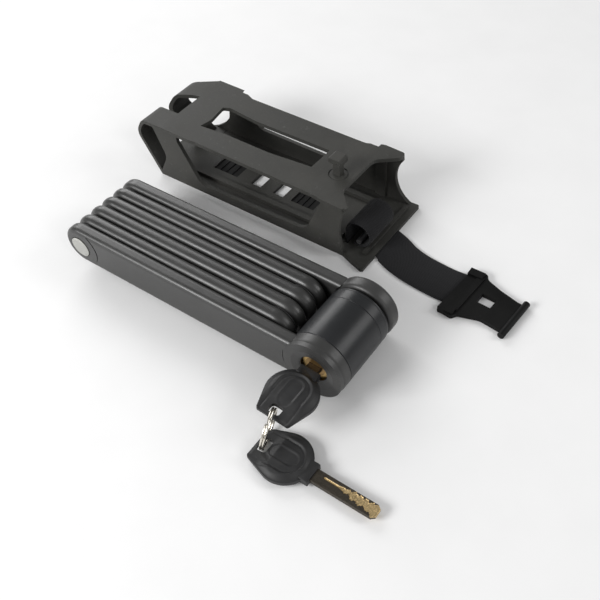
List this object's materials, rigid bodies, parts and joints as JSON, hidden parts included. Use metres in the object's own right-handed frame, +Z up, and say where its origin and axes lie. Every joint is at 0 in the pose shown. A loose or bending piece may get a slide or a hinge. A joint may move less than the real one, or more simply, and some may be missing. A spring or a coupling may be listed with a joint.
{
  "type": "folding bicycle lock",
  "caption": "Folding bike lock: riveted covered steel links folded side by side, barrel lock head with keys on a split ring, and a frame holder with a hook-over webbing strap.",
  "frame": {"origin": "middle of the whole set's footprint, on the ground it lies on", "axes": "+X along the folded links from the first rivet to the lock head, +Y across the stack from the key side to the holder, +Z up"},
  "size_m": [0.2562, 0.1978, 0.0462],
  "materials": {
    "hardened_steel": "flat steel bar, sawn and tumbled",
    "link_sleeve": "satin textured moulded sleeve",
    "rivet_steel": "satin zinc-plated rivet",
    "washer_nylon": "matt black nylon",
    "head_cover": "satin moulded cover",
    "head_barrel": "smooth satin moulded cover",
    "screw_steel": "black oxide",
    "brass": "turned brass",
    "pin_steel": "ground steel",
    "spring_steel": "spring wire",
    "stud_steel": "turned and plated",
    "latch_steel": "stamped steel",
    "key_plastic": "black moulded plastic, slight gloss",
    "key_steel": "dark nickel with brass showing in the cuts",
    "ring_wire": "nickel-plated wire",
    "holder_plastic": "warm grey-black moulded nylon",
    "pad_rubber": "black ribbed rubber",
    "webbing": "black woven webbing",
    "tab_plastic": "moulded plastic"
  },
  "bodies": {
    "lock_head": {"link_core_1": "hardened_steel", "link_sleeve_1": "link_sleeve", "rivet_1": "rivet_steel", "rivet_washer_1": "washer_nylon", "head_cap": "head_cover", "head_housing": "head_barrel", "head_end_cap": "head_barrel", "head_screws": "screw_steel", "cylinder_body": "brass", "driver_pins": "pin_steel", "pin_springs": "spring_steel", "chamber_plugs": "brass"},
    "link_2": {"link_core_2": "hardened_steel", "link_sleeve_2": "link_sleeve", "rivet_2": "rivet_steel", "rivet_washer_2": "washer_nylon"},
    "link_3": {"link_core_3": "hardened_steel", "link_sleeve_3": "link_sleeve", "rivet_3": "rivet_steel", "rivet_washer_3": "washer_nylon"},
    "link_4": {"link_core_4": "hardened_steel", "link_sleeve_4": "link_sleeve", "rivet_4": "rivet_steel", "rivet_washer_4": "washer_nylon"},
    "link_5": {"link_core_5": "hardened_steel", "link_sleeve_5": "link_sleeve", "rivet_5": "rivet_steel", "rivet_washer_5": "washer_nylon"},
    "link_6": {"link_core_6": "hardened_steel", "link_sleeve_6": "link_sleeve", "end_disc": "head_cover", "stud_ring": "washer_nylon"},
    "stud": {"locking_stud": "stud_steel"},
    "plug": {"cylinder_plug": "brass", "key_pins": "pin_steel", "plug_clip": "latch_steel"},
    "latch": {"latch_plate": "latch_steel"},
    "key_1": {"key_bow_1": "key_plastic", "key_blade_1": "key_steel"},
    "ring": {"split_ring": "ring_wire"},
    "key_2": {"key_bow_2": "key_plastic", "key_blade_2": "key_steel"},
    "holder": {"holder_shell": "holder_plastic", "frame_pads": "pad_rubber", "strap_peg": "holder_plastic", "anchor_pin": "pin_steel", "strap_anchor": "webbing"},
    "strap": {"strap_tail": "webbing"},
    "tab": {"strap_tab": "tab_plastic"}
  },
  "joints": [
    {"name": "link_2_turn", "type": "hinge", "parent": "lock_head", "child": "link_2", "pos_m": [-0.09352, -0.02048, 0.0172], "axis": [0, -1, 0], "range_deg": [-180, 180]},
    {"name": "link_3_turn", "type": "hinge", "parent": "link_2", "child": "link_3", "pos_m": [0.03248, -0.02048, 0.0172], "axis": [0, -1, 0], "range_deg": [-105, 105]},
    {"name": "link_4_turn", "type": "hinge", "parent": "link_3", "child": "link_4", "pos_m": [-0.09352, -0.02048, 0.0172], "axis": [0, -1, 0], "range_deg": [-180, 180]},
    {"name": "link_5_turn", "type": "hinge", "parent": "link_4", "child": "link_5", "pos_m": [0.03248, -0.02048, 0.0172], "axis": [0, -1, 0], "range_deg": [-105, 105]},
    {"name": "link_6_turn", "type": "hinge", "parent": "link_5", "child": "link_6", "pos_m": [-0.09352, -0.02048, 0.0172], "axis": [0, -1, 0], "range_deg": [-180, 180]},
    {"name": "stud_press", "type": "slide", "parent": "link_6", "child": "stud", "axis": [0, -1, 0], "range_m": [0, 0.0063]},
    {"name": "plug_turn", "type": "hinge", "parent": "lock_head", "child": "plug", "pos_m": [0.06348, -0.02648, 0.0172], "axis": [0, -1, 0], "range_deg": [0, 90]},
    {"name": "latch_lift", "type": "slide", "parent": "lock_head", "child": "latch", "axis": [0, 0, 1], "range_m": [0, 0.004]},
    {"name": "key_pull", "type": "slide", "parent": "plug", "child": "key_1", "axis": [0, -1, 0], "range_m": [0, 0.034]},
    {"name": "ring_swing", "type": "hinge", "parent": "key_1", "child": "ring", "pos_m": [0.06138, -0.07448, 0.0172], "axis": [0.9356, 0.313, -0.1633], "range_deg": [-3, 3]},
    {"name": "spare_key_swing", "type": "hinge", "parent": "ring", "child": "key_2", "pos_m": [0.06388, -0.08678, 0.0032], "axis": [0.9356, 0.313, -0.1633], "range_deg": [-1, 3]},
    {"name": "holder_lift", "type": "slide", "parent": "lock_head", "child": "holder", "axis": [0, 0, 1], "range_m": [0, 0.12]},
    {"name": "strap_swing", "type": "hinge", "parent": "holder", "child": "strap", "pos_m": [0.04018, 0.06182, 0.0014], "axis": [0, -1, 0], "range_deg": [0, 70]},
    {"name": "tab_fold", "type": "hinge", "parent": "strap", "child": "tab", "pos_m": [0.08808, 0.05092, 0.0008], "axis": [-0.101, -0.9949, 0], "range_deg": [0, 60]}
  ],
  "couplings": [
    {"joint": "latch_lift", "follows": "plug_turn", "m_per_rad": 0.0025465}
  ]
}
